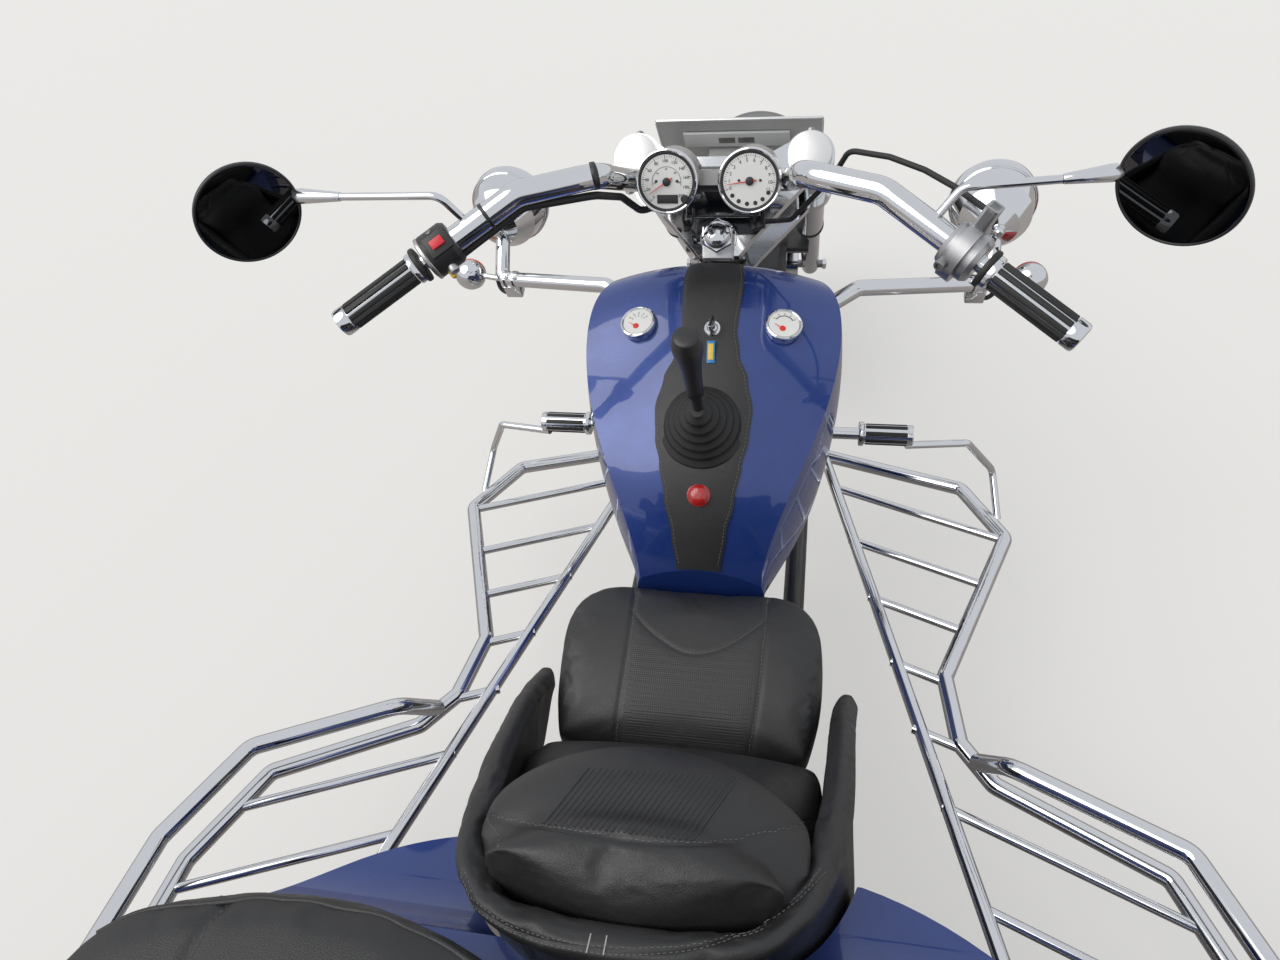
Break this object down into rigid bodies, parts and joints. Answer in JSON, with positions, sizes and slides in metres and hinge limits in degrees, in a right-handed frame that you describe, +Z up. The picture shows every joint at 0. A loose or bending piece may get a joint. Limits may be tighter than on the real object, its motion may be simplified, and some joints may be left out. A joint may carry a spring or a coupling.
{
  "type": "motorized trike",
  "caption": "Three-wheeled motor trike with a raked front fork, one rider seat, a rear passenger bench, side steps and round lamps.",
  "frame": {"origin": "on the ground under the middle of the whole length and width", "axes": "+Z up, -Y towards the front of the trike, +X towards the rider's left"},
  "size_m": [1.8, 3.539, 1.1939],
  "materials": {
    "blue_paint": "deep metallic blue gloss paint",
    "black_paint": "satin black paint",
    "chrome": "polished chrome",
    "alloy": "satin alloy",
    "black_leather": "black padded leather",
    "tyre": "black road tyre",
    "rubber": "black rubber",
    "black_plastic": "matt black plastic",
    "plate_white": "plain white plate",
    "red_lens": "red lens",
    "amber_lens": "amber lens",
    "steel": "brushed steel"
  },
  "bodies": {
    "chassis": {"bench_backrest": "black_leather", "bench_cushion": "black_leather", "engine_block": "alloy", "exhaust": "chrome", "floor_tunnel": "blue_paint", "foot_controls": "chrome", "frame": "black_paint", "gear_lever": "rubber", "headlamp_left": "chrome", "headlamp_right": "chrome", "indicator_left": "amber_lens", "indicator_right": "amber_lens", "lamp_bar": "chrome", "rear_axle": "black_paint", "rear_body": "blue_paint", "rear_fender_left": "blue_paint", "rear_fender_right": "blue_paint", "rider_backrest": "black_leather", "rider_bucket": "black_leather", "rider_cushion": "black_leather", "side_step_left": "chrome", "side_step_right": "chrome", "tail_lamp_left": "red_lens", "tail_lamp_right": "red_lens", "tank": "blue_paint", "tank_gauge_left": "chrome", "tank_gauge_right": "chrome", "warning_button": "red_lens"},
    "fork": {"brake_caliper": "alloy", "fork_leg_left": "chrome", "fork_leg_right": "chrome", "fork_yokes": "chrome", "front_axle": "steel", "front_fender": "black_paint", "front_plate": "plate_white", "gauge_cups": "chrome", "grip_left": "rubber", "grip_right": "rubber", "handlebar": "chrome", "mirror_left": "chrome", "mirror_right": "chrome", "switch_housing": "black_plastic", "switch_loom": "rubber", "throttle_cable": "rubber", "throttle_housing": "alloy"},
    "front_wheel": {"front_tyre": "tyre", "front_rim": "chrome", "brake_disc": "steel"},
    "rear_wheel_left": {"rear_tyre_left": "tyre", "rear_rim_left": "chrome"},
    "rear_wheel_right": {"rear_tyre_right": "tyre", "rear_rim_right": "chrome"}
  },
  "joints": [
    {"name": "steering", "type": "hinge", "parent": "chassis", "child": "fork", "pos_m": [0, -0.585, 0.888], "axis": [0, 0.7314, 0.682], "range_deg": [-32, 32]},
    {"name": "front_wheel_spin", "type": "hinge", "parent": "fork", "child": "front_wheel", "pos_m": [0, -1.391, 0.32], "axis": [1, 0, 0], "continuous": true},
    {"name": "rear_wheel_left_spin", "type": "hinge", "parent": "chassis", "child": "rear_wheel_left", "pos_m": [0.742, 1.205, 0.33], "axis": [1, 0, 0], "continuous": true},
    {"name": "rear_wheel_right_spin", "type": "hinge", "parent": "chassis", "child": "rear_wheel_right", "pos_m": [-0.742, 1.205, 0.33], "axis": [1, 0, 0], "continuous": true}
  ]
}
